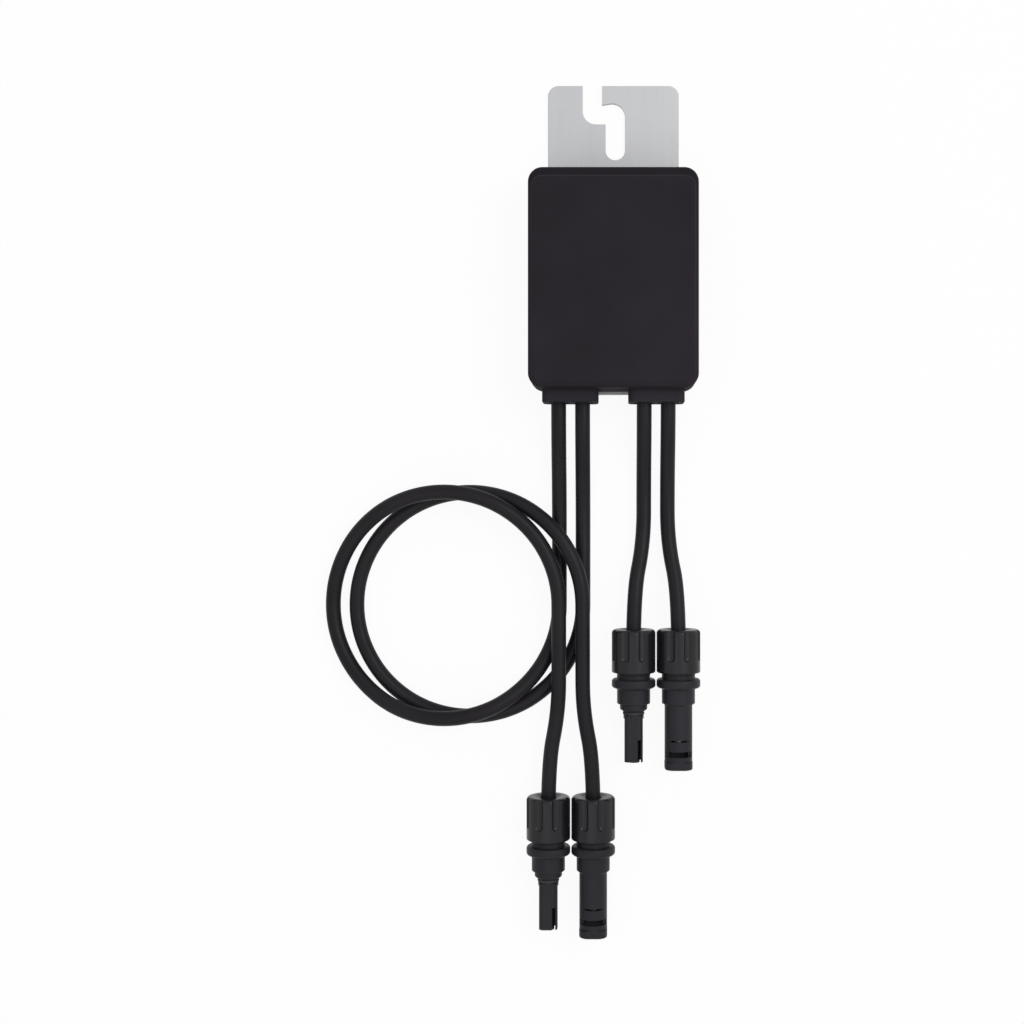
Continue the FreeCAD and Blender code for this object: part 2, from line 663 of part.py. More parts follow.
def power_transistor(x):
    """A flat power package: body, metal tab and two legs, as one moulded part."""
    half_w = TRANSISTOR_WIDTH / 2
    low, high = TRANSISTOR_ROW_Y - TRANSISTOR_LENGTH / 2, TRANSISTOR_ROW_Y + TRANSISTOR_LENGTH / 2
    z = BOARD_TOP
    part = box(x - half_w, x + half_w, low, high, z, z + TRANSISTOR_HEIGHT)
    tab = box(x - half_w, x + half_w, high, high + TRANSISTOR_TAB, z, z + TRANSISTOR_TAB_THICK)
    part = part.fuse(tab)
    thick = TRANSISTOR_LEG_THICK
    for side in (-1, 1):
        mid = x + side * TRANSISTOR_LEG_PITCH / 2
        leg = box(mid - thick / 2, mid + thick / 2, low - TRANSISTOR_LEG, low, z, z + thick)
        part = part.fuse(leg)
    return part.removeSplitter()


def cable_terminal(x):
    """The crimped sleeve on a cable's conductor, with a foot soldered to the board."""
    y0 = CABLE_INNER_END
    y1 = y0 + TERMINAL_LENGTH
    sleeve = rod(x, CABLE_Z, TERMINAL_R, y0, y1)
    half = TERMINAL_FOOT / 2
    foot = box(x - half, x + half, y1 - TERMINAL_FOOT_LENGTH, y1, BOARD_TOP, CABLE_Z)
    return sleeve.fuse(foot).removeSplitter()


def save_circuit():
    save("circuit_board", circuit_board())
    save("board_screws", [board_screw(x, y) for x, y in BOARD_SCREWS])
    for name, side in (("left", -1), ("right", 1)):
        x = side * INDUCTOR_PITCH / 2
        save(name + "_inductor_core", inductor_core(x))
        save(name + "_inductor_winding", inductor_winding(x))
    steps = (-1.5, -0.5, 0.5, 1.5)
    save("power_transistors", [power_transistor(k * TRANSISTOR_PITCH) for k in steps])
    save("output_capacitors", capacitor_bank(-1))
    save("input_capacitors", capacitor_bank(1))
    save("bypass_diode", on_board(DIODE_SIZE, DIODE_Y))
    save("control_chip", on_board(CHIP_SIZE, INDUCTOR_Y - CHIP_DROP))
    save("signal_transformer", on_board(TRANSFORMER_SIZE, INDUCTOR_Y + TRANSFORMER_RISE))
    y, pad_z = TRANSISTOR_ROW_Y, BOARD_BACK - PAD_THICK
    pad = rounded_block(*PAD_SIZE, PAD_CORNER_R, pad_z, BOARD_BACK, mid_y=y)
    spreader = rounded_block(*SPREADER_SIZE, SPREADER_CORNER_R, FLOOR_TOP, pad_z, mid_y=y)
    save("thermal_pad", pad)
    save("heat_spreader", spreader)
    places = [x for side in (-1, 1) for x in cable_places(side * GLAND_PITCH / 2)]
    save("cable_terminals", [cable_terminal(x) for x in places])


# Couplers
def gland_nut(x, y, z):
    """A fluted cap nut with a rounded rim, a dished end, an inner cone for the claws and a threaded
    bore."""
    bore = THREAD_R + THREAD_CLEARANCE
    hole = CABLE_R + NUT_HOLE_CLEARANCE
    nut = turned([
        (NUT_DISH_DEPTH, hole), (0, NUT_DISH_R), (0, NUT_R), (NUT_LENGTH, NUT_R), (NUT_LENGTH, bore),
        (CAGE_START + NUT_CONE, bore), (NUT_WALL, CABLE_R + CAGE_THICK + NUT_CONE_PLAY),
        (NUT_WALL, hole),
    ], x, y, z)
    nut = nut.makeFillet(NUT_RIM_R, edges_round_axis(nut, NUT_R, y))
    nut = nut.makeFillet(NUT_END_R, edges_round_axis(nut, NUT_R, y - NUT_LENGTH))
    centre_r = NUT_R - NUT_FLUTE_DEPTH + NUT_FLUTE_R
    length = NUT_GRIP + OVER - NUT_FLUTE_R
    for k in range(NUT_FLUTES):
        a = 2 * math.pi * (k + 0.5) / NUT_FLUTES
        at = V(x + centre_r * math.cos(a), y + OVER, z + centre_r * math.sin(a))
        flute = Part.makeCylinder(NUT_FLUTE_R, length, at, V(0, -1, 0))
        end = Part.makeSphere(NUT_FLUTE_R, at + V(0, -length, 0))
        nut = nut.cut(flute.fuse(end))
    return nut


def clamp_cage(x, y, z):
    """The claw ring that the nut's cone closes on the cable."""
    inner = CABLE_R + CAGE_BORE_CLEARANCE
    outer = inner + CAGE_THICK
    ring_r = POCKET_R - CAGE_FIT
    ring_end = SPIGOT_START + CAGE_IN_SPIGOT
    ring_start = ring_end - CAGE_RING
    cage = turned([
        (CAGE_START, inner), (CAGE_START, outer - CAGE_NOSE_DROP), (CAGE_START + CAGE_NOSE, outer),
        (ring_start, outer), (ring_start, ring_r), (ring_end, ring_r), (ring_end, inner),
    ], x, y, z)
    claw = ring_start - CAGE_START - CAGE_CLAW_ROOT
    half = CAGE_CLAW_GAP / 2
    for k in range(CAGE_CLAWS):
        gap = box(inner - OVER, outer + OVER, -claw, OVER, -half, half)
        gap.rotate(V(0, 0, 0), V(0, 1, 0), 360 * k / CAGE_CLAWS)
        gap.translate(V(x, y - CAGE_START, z))
        cage = cage.cut(gap)
    return cage


def cable_rubber(x, y, z):
    """The sleeve of soft rubber that the cage presses round the cable."""
    inner = CABLE_R + CABLE_CLEARANCE
    start = POCKET_END - RUBBER_LENGTH
    return turned([
        (start, inner), (start, POCKET_R - RUBBER_NOSE_DROP), (start + RUBBER_NOSE, POCKET_R),
        (POCKET_END, POCKET_R), (POCKET_END, inner),
    ], x, y, z)


def coupler_shape(rest, end, end_r, x, y, z):
    """The turned shape of a coupler body. Both kinds share the stretch from the spigot to the end of
    the thick body; rest goes on from there, and the way inside is walked back from the open end."""
    thread_start = SPIGOT_START + SPIGOT_BEVEL
    collar_end = CONTACT_COLLAR_AT + CONTACT_COLLAR + CONTACT_CLEARANCE
    cable_hole = CABLE_R + CABLE_CLEARANCE
    body = turned([
        (SPIGOT_START, POCKET_R), (SPIGOT_START, THREAD_R - SPIGOT_BEVEL), (thread_start, THREAD_R),
        (FLANGE_START, THREAD_R), (FLANGE_START, FLANGE_R), (FLANGE_END, FLANGE_R),
        (FLANGE_END + FLANGE_FOOT, BODY_R), (BODY_END, BODY_R),
    ] + rest + [
        (end, end_r), (collar_end, end_r), (collar_end, CONTACT_COLLAR_R),
        (CABLE_END, CONTACT_COLLAR_R), (CABLE_END, cable_hole), (POCKET_END, cable_hole),
        (POCKET_END, POCKET_R),
    ], x, y, z)
    flange = edges_round_axis(body, FLANGE_R, y - FLANGE_START)
    flange += edges_round_axis(body, FLANGE_R, y - FLANGE_END)
    body = body.makeFillet(FLANGE_EDGE_R, flange)
    return body.makeFillet(BODY_EDGE_R, edges_round_axis(body, BODY_R, y - BODY_END))


def socket_body(x, y, z):
    """The narrow coupler: a stepped body, a seat for the seal ring and a square probe with a
    sprung latch arm."""
    root = SOCKET_SEAT_END + PROBE_ROOT
    body = coupler_shape([
        (BODY_END, SOCKET_STEP_R), (SOCKET_STEP_END, SOCKET_STEP_R),
        (SOCKET_STEP_END, SOCKET_SHOULDER_R), (SOCKET_SHOULDER_END, SOCKET_SHOULDER_R),
        (SOCKET_SHOULDER_END, ORING_SEAT_R), (SOCKET_SEAT_END, ORING_SEAT_R),
        (SOCKET_SEAT_END, PROBE_ROOT_R), (root, PROBE_ROOT_R),
    ], root, SOCKET_CONTACT_R, x, y, z)
    step_edge = edges_round_axis(body, SOCKET_STEP_R, y - SOCKET_STEP_END)
    body = body.makeFillet(SOCKET_STEP_EDGE_R, step_edge)
    half = PROBE_WIDTH / 2
    front0 = y - SOCKET_LENGTH
    front1 = y - PROBE_ARM_START + MERGE
    probe = bar_along_y(PROBE_WIDTH, PROBE_WIDTH, PROBE_CORNER_R, y - PROBE_ARM_START,
                        y - SOCKET_SEAT_END, x, z)
    tip = bar_along_y(PROBE_WIDTH, PROBE_WIDTH, PROBE_CORNER_R, front0, front1, x, z)
    side_wall = box(x - half, x + PROBE_STEP_X, front0, front1, z - half, z + half)
    floor = box(x - half, x + half, front0, front1, z - half, z - half + PROBE_FLOOR)
    barrel = rod(x, z, half - PROBE_ARM_THICK - PROBE_SLOT, front0 - PROBE_BARREL_OUT, front1)
    arm = box(x + half - PROBE_ARM_THICK, x + half, front0, front1, z - PROBE_ARM_DROP, z + half)
    walls = [tip.common(wall) for wall in (side_wall.fuse(floor), arm)]
    body = body.fuse([probe, barrel] + walls)
    drill = rod(x, z, SOCKET_CONTACT_R, front0 - OVER, y - SOCKET_SEAT_END + MERGE)
    return body.cut(drill).removeSplitter()


def plug_body(x, y, z):
    """The wide coupler: the same back end, and a round shell with a square cavity and a squarish
    mouth. Its front has the latch window and, behind it, a narrow slit."""
    mouth_start = SHELL_LENGTH - SHELL_MOUTH_LENGTH
    round_end = mouth_start + MERGE
    body = coupler_shape([
        (BODY_END, SHELL_FOOT_R), (BODY_END + SHELL_FOOT, SHELL_R), (round_end, SHELL_R),
    ], round_end, PIN_SHANK_R + CONTACT_CLEARANCE, x, y, z)
    mouth = bar_along_y(SHELL_MOUTH_WIDTH, SHELL_MOUTH_WIDTH, SHELL_MOUTH_CORNER_R,
                        y - SHELL_LENGTH, y - mouth_start, x, z)
    body = body.fuse(mouth.makeFillet(SHELL_MOUTH_R, edges_at_y(mouth, y - SHELL_LENGTH)))
    cavity_w = PROBE_WIDTH + 2 * SHELL_CLEARANCE
    cavity = bar_along_y(cavity_w, cavity_w, PROBE_CORNER_R + SHELL_CLEARANCE,
                         y - SHELL_LENGTH - OVER, y - SHELL_CAVITY_START, x, z)
    body = body.cut(cavity)
    for start, length, width, floor in (
        (SLIT_AT, SLIT_LENGTH, SLIT_WIDTH, SLIT_FLOOR),
        (WINDOW_AT, WINDOW_LENGTH, WINDOW_WIDTH, WINDOW_FLOOR),
    ):
        half, near, far = width / 2, y - start, y - start - length
        body = body.cut(box(x - half, x + half, far, near, z + floor, z + SHELL_R + OVER))
    return body.removeSplitter()


def contact_back():
    """The crimp barrel and the collar, which both contacts share."""
    collar_end = CONTACT_COLLAR_AT + CONTACT_COLLAR
    collar_r = CONTACT_COLLAR_R - CONTACT_CLEARANCE
    return [
        (CABLE_END, 0), (CABLE_END, CONTACT_CRIMP_R), (CONTACT_COLLAR_AT, CONTACT_CRIMP_R),
        (CONTACT_COLLAR_AT, collar_r), (collar_end, collar_r),
    ], collar_end


def socket_contact(x, y, z):
    """The tinned socket: a crimp barrel, a collar and a sleeve with a bore for the pin."""
    back, collar_end = contact_back()
    end = SOCKET_LENGTH - SOCKET_CONTACT_INSET
    r = SOCKET_CONTACT_R - SOCKET_CONTACT_FIT
    floor = end - SOCKET_BORE_DEPTH
    return turned(back + [
        (collar_end, r), (end, r), (end, SOCKET_BORE_R), (floor, SOCKET_BORE_R), (floor, 0),
    ], x, y, z)


def plug_contact(x, y, z):
    """The tinned pin: a crimp barrel, a collar and a round nosed pin."""
    back, collar_end = contact_back()
    shank_end = SHELL_CAVITY_START + PIN_SHANK_OUT
    return turned(back + [
        (collar_end, PIN_SHANK_R), (shank_end, PIN_SHANK_R), (shank_end, PIN_R),
        (PIN_END - PIN_NOSE, PIN_R), (PIN_END - PIN_NOSE / 3, PIN_R * 3 / 4), (PIN_END, PIN_R / 3),
        (PIN_END, 0),
    ], x, y, z)


def seal_ring(x, y, z):
    """The O-ring at the foot of the probe."""
    t = (SOCKET_SHOULDER_END + SOCKET_SEAT_END) / 2
    ring = Part.makeTorus(ORING_SEAT_R + ORING_D / 2 + ORING_FIT, ORING_D / 2, V(0, 0, 0), V(0, 1, 0))
    ring.translate(V(x, y - t, z))
    return ring


# Cables
def cable(name, route):
    """A tube along straight runs joined by tangent arcs; prints its length and its radii."""
    points = [V(*p) for p in route]
    radii = []
    arcs = []
    for before, at, after in zip(points, points[1:], points[2:]):
        back = (before - at).normalize()
        ahead = (after - at).normalize()
        turn = math.pi - back.getAngle(ahead)
        reach = CABLE_ARC_SHARE * min((before - at).Length, (after - at).Length)
        radius = reach / math.tan(turn / 2)
        bisector = (back + ahead).normalize()
        middle = at + bisector * (radius / math.cos(turn / 2) - radius)
        arcs.append((at + back * reach, middle, at + ahead * reach))
        radii.append(radius)
    edges = []
    last = points[0]
    for start, middle, end in arcs:
        edges.append(Part.LineSegment(last, start).toShape())
        edges.append(Part.Arc(start, middle, end).toShape())
        last = end
    edges.append(Part.LineSegment(last, points[-1]).toShape())
    path = Part.Wire(edges)
    section = Part.Wire(Part.makeCircle(CABLE_R, points[0], points[1] - points[0]))
    tube = path.makePipeShell([section], True, False)
    expected = math.pi * CABLE_R ** 2 * path.Length
    print(name, "length", round(path.Length, 1), "volume share", round(tube.Volume / expected, 4),
          "least radius", round(min(radii), 1))
    return tube


def save_coupler(name, x, y, is_plug):
    z = COUPLER_Z
    save(name + "_nut", gland_nut(x, y, z))
    save(name + "_clamp_cage", clamp_cage(x, y, z))
    save(name + "_cable_rubber", cable_rubber(x, y, z))
    if is_plug:
        save(name + "_body", plug_body(x, y, z))
        save(name + "_contact", plug_contact(x, y, z))
    else:
        save(name + "_body", socket_body(x, y, z))
        save(name + "_contact", socket_contact(x, y, z))
        save(name + "_seal_ring", seal_ring(x, y, z))


def main():
    os.makedirs("parts", exist_ok=True)
    save("mounting_plate", mounting_plate())
    save("housing_base", housing_base())
    save("front_cover", front_cover())
    save("cover_gasket", cover_gasket())
    save("cover_screws", [cover_screw(x, y) for x, y in COVER_SCREWS])
    save("plate_screws", [plate_screw(x, y) for x, y in PLATE_SCREWS])
    for name, side in (("left", -1), ("right", 1)):
        save(name + "_gland_block", gland_block(side * GLAND_PITCH / 2))
        save(name + "_twin_seal", twin_seal(side * GLAND_PITCH / 2))
    save_circuit()
    for pair, side, nut_y, routes in (
        ("long", -1, LONG_NUT_Y, (LONG_SOCKET_ROUTE, LONG_PLUG_ROUTE)),
        ("short", 1, SHORT_NUT_Y, (SHORT_SOCKET_ROUTE, SHORT_PLUG_ROUTE)),
    ):
        mid = side * GLAND_PITCH / 2
        for kind, step, route in (("socket", -1, routes[0]), ("plug", 1, routes[1])):
            name = pair + "_" + kind
            save(name + "_cable", cable(name, route))
            save_coupler(name, mid + step * COUPLER_SPREAD / 2, nut_y, kind == "plug")


main()
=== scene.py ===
"""Solar power optimizer, as the photograph shows it: on a white floor, seen straight from above."""

import json
import math

import bpy
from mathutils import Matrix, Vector


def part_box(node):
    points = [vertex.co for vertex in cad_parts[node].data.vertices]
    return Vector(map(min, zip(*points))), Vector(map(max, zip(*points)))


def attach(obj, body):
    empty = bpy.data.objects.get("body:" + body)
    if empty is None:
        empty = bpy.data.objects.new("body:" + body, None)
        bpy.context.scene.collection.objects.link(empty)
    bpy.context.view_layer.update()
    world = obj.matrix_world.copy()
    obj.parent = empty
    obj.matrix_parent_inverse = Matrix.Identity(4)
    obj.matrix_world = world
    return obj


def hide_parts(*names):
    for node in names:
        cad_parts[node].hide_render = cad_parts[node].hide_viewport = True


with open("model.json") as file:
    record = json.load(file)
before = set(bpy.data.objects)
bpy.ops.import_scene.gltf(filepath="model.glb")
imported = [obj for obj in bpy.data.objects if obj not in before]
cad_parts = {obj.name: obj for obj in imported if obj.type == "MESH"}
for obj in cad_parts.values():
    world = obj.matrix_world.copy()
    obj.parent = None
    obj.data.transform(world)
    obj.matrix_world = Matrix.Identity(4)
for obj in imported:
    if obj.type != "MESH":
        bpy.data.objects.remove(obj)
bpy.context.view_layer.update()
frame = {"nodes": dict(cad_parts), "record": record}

ROOT = "optimizer"
MM = 0.001

# Camera: it looks straight down over the housing's centre line, which lies right of the middle of
# the frame
FRAME_PX = 1024
FOCAL_PX = 1340
AXIS_PX = 613.4
CAMERA_X = 0.0
CAMERA_Y = -122.33 * MM
CAMERA_HEIGHT = 617 * MM
SENSOR_MM = 36.0

# Light: two square lamps, in metres and watts, and how bright the room is
LAMPS_AIM = (-0.02, -0.1, 0)
KEY_PLACE = (0.95, 0.35, 1.6)
KEY_SIZE = 1.1
KEY_POWER = 15
FILL_PLACE = (-0.3, -0.9, 1.6)
FILL_SIZE = 1.2
FILL_POWER = 3
ROOM_LIGHT = 0.6

# Floor: a wide sheet just under the part, and how much of its white is its own light
FLOOR_REACH = 6.0
FLOOR_GAP = 0.05 * MM
FLOOR_COLOUR = (0.9, 0.9, 0.9, 1)
FLOOR_OWN_LIGHT = 0.93

# Cables: the corners of each route, in millimetres, as the part's own tubes have them. The long
# straight runs have a point or two more, and the corner before each coupler stands up to 0.9 mm
# further out, so that the spline is on the nut's axis where it enters the nut.
CABLE_D = 6.8
ROUTES = {
    "long_socket": [
        (-24.7, -60.4, 13.0), (-24.7, -86.0, 13.0), (-24.7, -116.0, 3.5),
        (-24.72, -153.0, 3.45), (-24.7, -176.23, 3.5), (-34.95, -197.27, 4.9),
        (-53.39, -211.84, 10.5), (-76.45, -217.0, 11.9), (-99.51, -211.84, 10.3),
        (-117.96, -197.27, 4.8), (-128.2, -176.23, 3.5), (-128.2, -152.92, 3.6),
        (-117.96, -131.8, 6.5), (-99.51, -117.18, 11.2), (-76.45, -112.0, 13.7),
        (-53.39, -117.18, 13.7), (-34.95, -131.8, 11.7), (-24.7, -152.92, 11.1),
        (-24.72, -176.4, 11.0), (-24.68, -185.8, 11.0), (-24.7, -212.0, 10.9),
        (-29.95, -238.0, 9.85), (-29.45, -276.9, 9.95),
    ],
    "long_plug": [
        (-13.9, -60.4, 13.0), (-13.9, -86.0, 13.0), (-13.9, -116.0, 3.5),
        (-13.92, -153.0, 3.45), (-13.9, -176.23, 3.5), (-24.15, -197.27, 3.45),
        (-42.59, -211.84, 3.5), (-65.65, -217.0, 3.45), (-88.71, -211.84, 3.5),
        (-107.16, -197.27, 3.45), (-117.4, -176.23, 3.5), (-117.4, -152.92, 3.45),
        (-107.16, -131.8, 3.5), (-88.71, -117.18, 3.5), (-65.65, -112.0, 4.8),
        (-42.59, -117.18, 8.3), (-24.15, -131.8, 11.6), (-13.9, -152.92, 11.1),
        (-13.92, -176.4, 10.95), (-13.88, -185.8, 10.95), (-13.9, -212.0, 10.8),
        (-8.65, -238.0, 9.85), (-9.15, -276.9, 9.95),
    ],
    "short_socket": [
        (13.9, -60.4, 13.0), (13.9, -83.0, 13.0), (13.9, -107.0, 3.5), (13.9, -136.0, 3.5),
        (8.65, -161.0, 10.65), (9.15, -201.4, 9.95),
    ],
    "short_plug": [
        (24.7, -60.4, 13.0), (24.7, -83.0, 13.0), (24.7, -107.0, 3.5), (24.7, -136.0, 3.5),
        (29.95, -161.0, 10.65), (29.45, -201.4, 9.95),
    ],
}

# The painted highlight, a fine light line inside the edge of the housing's front, and the painted
# shade, a darker strip on the rounding between that line and the upper edge: places in millimetres,
# and their colours as multiples of the housing's own
RIM_LEFT_RIGHT = 36.2
RIM_LOW = -66.4
RIM_HIGH = 25.7
RIM_CORNER_R = 4.6
RIM_WIDTH = 0.28
RIM_ABOVE = 20.0
RIM_AT_LOW_END = 0.3
RIM_HIGHLIGHT_TINT = 2.5
RIM_HIGHLIGHT_SHARE = 0.5
STRIP_FROM = 26.0
STRIP_TO = 27.4
STRIP_SHADE_TINT = 0.65

# The thread on each coupler's spigot: its start and end are millimetres from the spigot's open end,
# its width is a share of its pitch, its steps are for one turn, and it runs out at each end over a
# share of its length
THREAD_START = 1.2
THREAD_END = 10.3
THREAD_PITCH = 1.5
THREAD_SHARE = 0.7
THREAD_R = 7.5
THREAD_FOOT_R = 7.4
THREAD_HEIGHT = 0.16
THREAD_STEPS = 48
THREAD_RUN_OUT = 1 / 8
THREAD_SHARP_DEG = 40

# Finishes: the radius in millimetres that moulded and cut edges are rounded to, the cosines between
# a rounded direction and its face's from full edge to none, how much lighter edges are painted, as
# rubbed wear and as a painted highlight, and the middle range of a noise, which is what becomes
# tones and roughness
MOULDED_EDGE_R = 0.25
PLATE_EDGE_R = 0.2
BEVEL_SAMPLES = 6
EDGE_COSINES = (0.93, 0.999)
EDGE_WEAR_AND_HIGHLIGHT_TINT = 3
EDGE_WEAR_AND_HIGHLIGHT_SHARE = 0.35
TONE_RANGE = (0.35, 0.65)
GLOSS_RANGE = (0.3, 0.7)


# Camera, floor and light
def make_camera():
    data = bpy.data.cameras.new("camera")
    data.sensor_width = SENSOR_MM
    data.lens = FOCAL_PX / FRAME_PX * SENSOR_MM
    data.shift_x = (FRAME_PX / 2 - AXIS_PX) / FRAME_PX
    data.clip_start = 0.01
    camera = bpy.data.objects.new("camera", data)
    camera.location = (CAMERA_X, CAMERA_Y, CAMERA_HEIGHT)
    bpy.context.scene.collection.objects.link(camera)
    bpy.context.scene.camera = camera


def add_lamp(name, place, size, power):
    data = bpy.data.lights.new(name, "AREA")
    data.shape = "SQUARE"
    data.size = size
    data.energy = power
    lamp = bpy.data.objects.new(name, data)
    lamp.location = place
    lamp.rotation_euler = (Vector(LAMPS_AIM) - Vector(place)).to_track_quat("-Z", "Y").to_euler()
    bpy.context.scene.collection.objects.link(lamp)


def shown(tree):
    """1 where the camera, a reflection or a clear material shows a surface, and 0 where it only
    sends light on to others."""
    path = tree.nodes.new("ShaderNodeLightPath")
    seen = path.outputs["Is Camera Ray"]
    for kind in ("Is Glossy Ray", "Is Transmission Ray"):
        either = tree.nodes.new("ShaderNodeMath")
        either.operation = "MAXIMUM"
        tree.links.new(seen, either.inputs[0])
        tree.links.new(path.outputs[kind], either.inputs[1])
        seen = either.outputs[0]
    return seen


def make_lights():
    add_lamp("key", KEY_PLACE, KEY_SIZE, KEY_POWER)
    add_lamp("fill", FILL_PLACE, FILL_SIZE, FILL_POWER)
    world = bpy.data.worlds.new("studio")
    bpy.context.scene.world = world
    world.use_nodes = True
    tree = world.node_tree
    tree.nodes.clear()
    strength = tree.nodes.new("ShaderNodeMix")
    strength.data_type = "FLOAT"
    strength.inputs["A"].default_value = ROOM_LIGHT
    strength.inputs["B"].default_value = 1.0
    back = tree.nodes.new("ShaderNodeBackground")
    back.inputs["Color"].default_value = (1, 1, 1, 1)
    out = tree.nodes.new("ShaderNodeOutputWorld")
    tree.links.new(shown(tree), strength.inputs["Factor"])
    tree.links.new(strength.outputs["Result"], back.inputs["Strength"])
    tree.links.new(back.outputs["Background"], out.inputs["Surface"])


def make_floor():
    """A wide white floor: most of its colour is its own light for the camera and in reflections, so
    that it stays white and still takes the shadows."""
    reach = FLOOR_REACH
    mesh = bpy.data.meshes.new("floor")
    mesh.from_pydata(
        [(-reach, -reach, 0), (reach, -reach, 0), (reach, reach, 0), (-reach, reach, 0)],
        [], [(0, 1, 2, 3)],
    )
    floor = bpy.data.objects.new("floor", mesh)
    floor.location = (0, 0, -FLOOR_GAP)
    bpy.context.scene.collection.objects.link(floor)
    material = bpy.data.materials.new("floor_white")
    material.use_nodes = True
    tree = material.node_tree
    tree.nodes.clear()
    lit = tree.nodes.new("ShaderNodeBsdfDiffuse")
    lit.inputs["Color"].default_value = FLOOR_COLOUR
    own = tree.nodes.new("ShaderNodeEmission")
    own.inputs["Strength"].default_value = 1.0
    share = tree.nodes.new("ShaderNodeMath")
    share.operation = "MULTIPLY"
    share.inputs[1].default_value = FLOOR_OWN_LIGHT
    mix = tree.nodes.new("ShaderNodeMixShader")
    out = tree.nodes.new("ShaderNodeOutputMaterial")
    tree.links.new(shown(tree), share.inputs[0])
    tree.links.new(share.outputs[0], mix.inputs["Fac"])
    tree.links.new(lit.outputs[0], mix.inputs[1])
    tree.links.new(own.outputs[0], mix.inputs[2])
    tree.links.new(mix.outputs[0], out.inputs["Surface"])
    mesh.materials.append(material)


# Materials
class Nodes:
    """A material's node tree with short calls for the nodes that the finishes share."""

    def __init__(self, name):
        self.material = bpy.data.materials.new(name)
        self.material.use_nodes = True
        self.tree = self.material.node_tree
        self.surface = self.tree.nodes["Principled BSDF"]

    def add(self, kind, **values):
        node = self.tree.nodes.new(kind)
        for key, value in values.items():
            setattr(node, key, value)
        return node

    def link(self, a, b):
        self.tree.links.new(a, b)

    def place(self, scale=(1, 1, 1)):
        """Object coordinates, stretched by scale."""
        where = self.add("ShaderNodeTexCoord")
        mapping = self.add("ShaderNodeMapping")
        mapping.inputs["Scale"].default_value = scale
        self.link(where.outputs["Object"], mapping.inputs["Vector"])
        return mapping.outputs["Vector"]

    def noise(self, scale, detail, rough=0.55, stretch=(1, 1, 1)):
        """A soft noise between 0 and 1 in object coordinates, stretched if asked."""
        node = self.add("ShaderNodeTexNoise")
        node.inputs["Scale"].default_value = scale
        node.inputs["Detail"].default_value = detail
        node.inputs["Roughness"].default_value = rough
        self.link(self.place(stretch), node.inputs["Vector"])
        return node.outputs["Fac"]

    def ramp(self, value, low, high, start=0.0, end=1.0):
        """value from start..end mapped to low..high, as a number."""
        node = self.add("ShaderNodeMapRange")
        node.inputs["From Min"].default_value = start
        node.inputs["From Max"].default_value = end
        node.inputs["To Min"].default_value = low
        node.inputs["To Max"].default_value = high
        self.link(value, node.inputs["Value"])
        return node.outputs["Result"]

    def colours(self, value, a, b):
        """A noise as tones from colour a to colour b."""
        node = self.add("ShaderNodeMix", data_type="RGBA")
        node.inputs["A"].default_value = (*a, 1)
        node.inputs["B"].default_value = (*b, 1)
        self.link(self.ramp(value, 0, 1, *TONE_RANGE), node.inputs["Factor"])
        return node.outputs["Result"]

    def rounded(self, radius):
        """The surface direction with every sharp edge rounded off, to a radius in millimetres."""
        node = self.add("ShaderNodeBevel", samples=BEVEL_SAMPLES)
        node.inputs["Radius"].default_value = radius * MM
        return node.outputs["Normal"]

    def edges(self, normal):
        """1 on the edges that a rounded surface direction has softened, and 0 on the faces."""
        true = self.add("ShaderNodeNewGeometry")
        dot = self.add("ShaderNodeVectorMath", operation="DOT_PRODUCT")
        self.link(normal, dot.inputs[0])
        self.link(true.outputs["Normal"], dot.inputs[1])
        return self.ramp(dot.outputs["Value"], 1, 0, *EDGE_COSINES)

    def towards(self, colour, mask, tint, most):
        """colour, taken towards tint by up to most where the mask is 1."""
        node = self.add("ShaderNodeMix", data_type="RGBA")
        self.link(self.ramp(mask, 0, most), node.inputs["Factor"])
        self.link(colour, node.inputs["A"])
        node.inputs["B"].default_value = (*tint, 1)
        return node.outputs["Result"]

    def math(self, operation, a, b=0.0):
        """One sum on numbers or on the outputs of other nodes."""
        node = self.add("ShaderNodeMath", operation=operation)
        for socket, value in zip(node.inputs, (a, b)):
            if hasattr(value, "is_linked"):
                self.link(value, socket)
            else:
                socket.default_value = value
        return node.outputs["Value"]

    def rim_highlight_and_shade_masks(self):
        """Two masks on the housing's front face: a painted highlight line inside its rim, which is
        faint at the lower end, and a painted shade strip between that line and the upper edge."""
        where = self.add("ShaderNodeTexCoord")
        parts = self.add("ShaderNodeSeparateXYZ")
        self.link(where.outputs["Object"], parts.inputs["Vector"])
        x, y, z = (parts.outputs[axis] for axis in "XYZ")
        middle, half = (RIM_HIGH + RIM_LOW) / 2, (RIM_HIGH - RIM_LOW) / 2
        squares = []
        for value, reach in ((x, RIM_LEFT_RIGHT), (self.math("SUBTRACT", y, middle * MM), half)):
            past = self.math("SUBTRACT", self.math("ABSOLUTE", value), (reach - RIM_CORNER_R) * MM)
            past = self.math("MAXIMUM", past)
            squares.append(self.math("MULTIPLY", past, past))
        from_corner = self.math("SQRT", self.math("ADD", *squares))
        beyond = self.math("SUBTRACT", from_corner, RIM_CORNER_R * MM)

        # The painted highlight line: on the front only, and fainter towards the lower end
        line = self.ramp(self.math("ABSOLUTE", beyond), 1, 0, 0, RIM_WIDTH * MM)
        in_front = self.math("GREATER_THAN", z, RIM_ABOVE * MM)
        fade = self.ramp(y, RIM_AT_LOW_END, 1, RIM_LOW * MM, RIM_HIGH * MM)
        line = self.math("MULTIPLY", self.math("MULTIPLY", line, in_front), fade)

        # The painted shade strip: outside the line, on the rounded upper edge
        outside = self.ramp(beyond, 0, 1, 0, RIM_WIDTH * MM)
        on_curve = self.ramp(z, 0, 1, STRIP_FROM * MM, STRIP_TO * MM)
        corner_y = (RIM_HIGH - RIM_CORNER_R) * MM
        upper = self.ramp(y, 0, 1, corner_y - RIM_CORNER_R * MM, corner_y)
        shade_strip = self.math("MULTIPLY", self.math("MULTIPLY", outside, on_curve), upper)
        return line, shade_strip

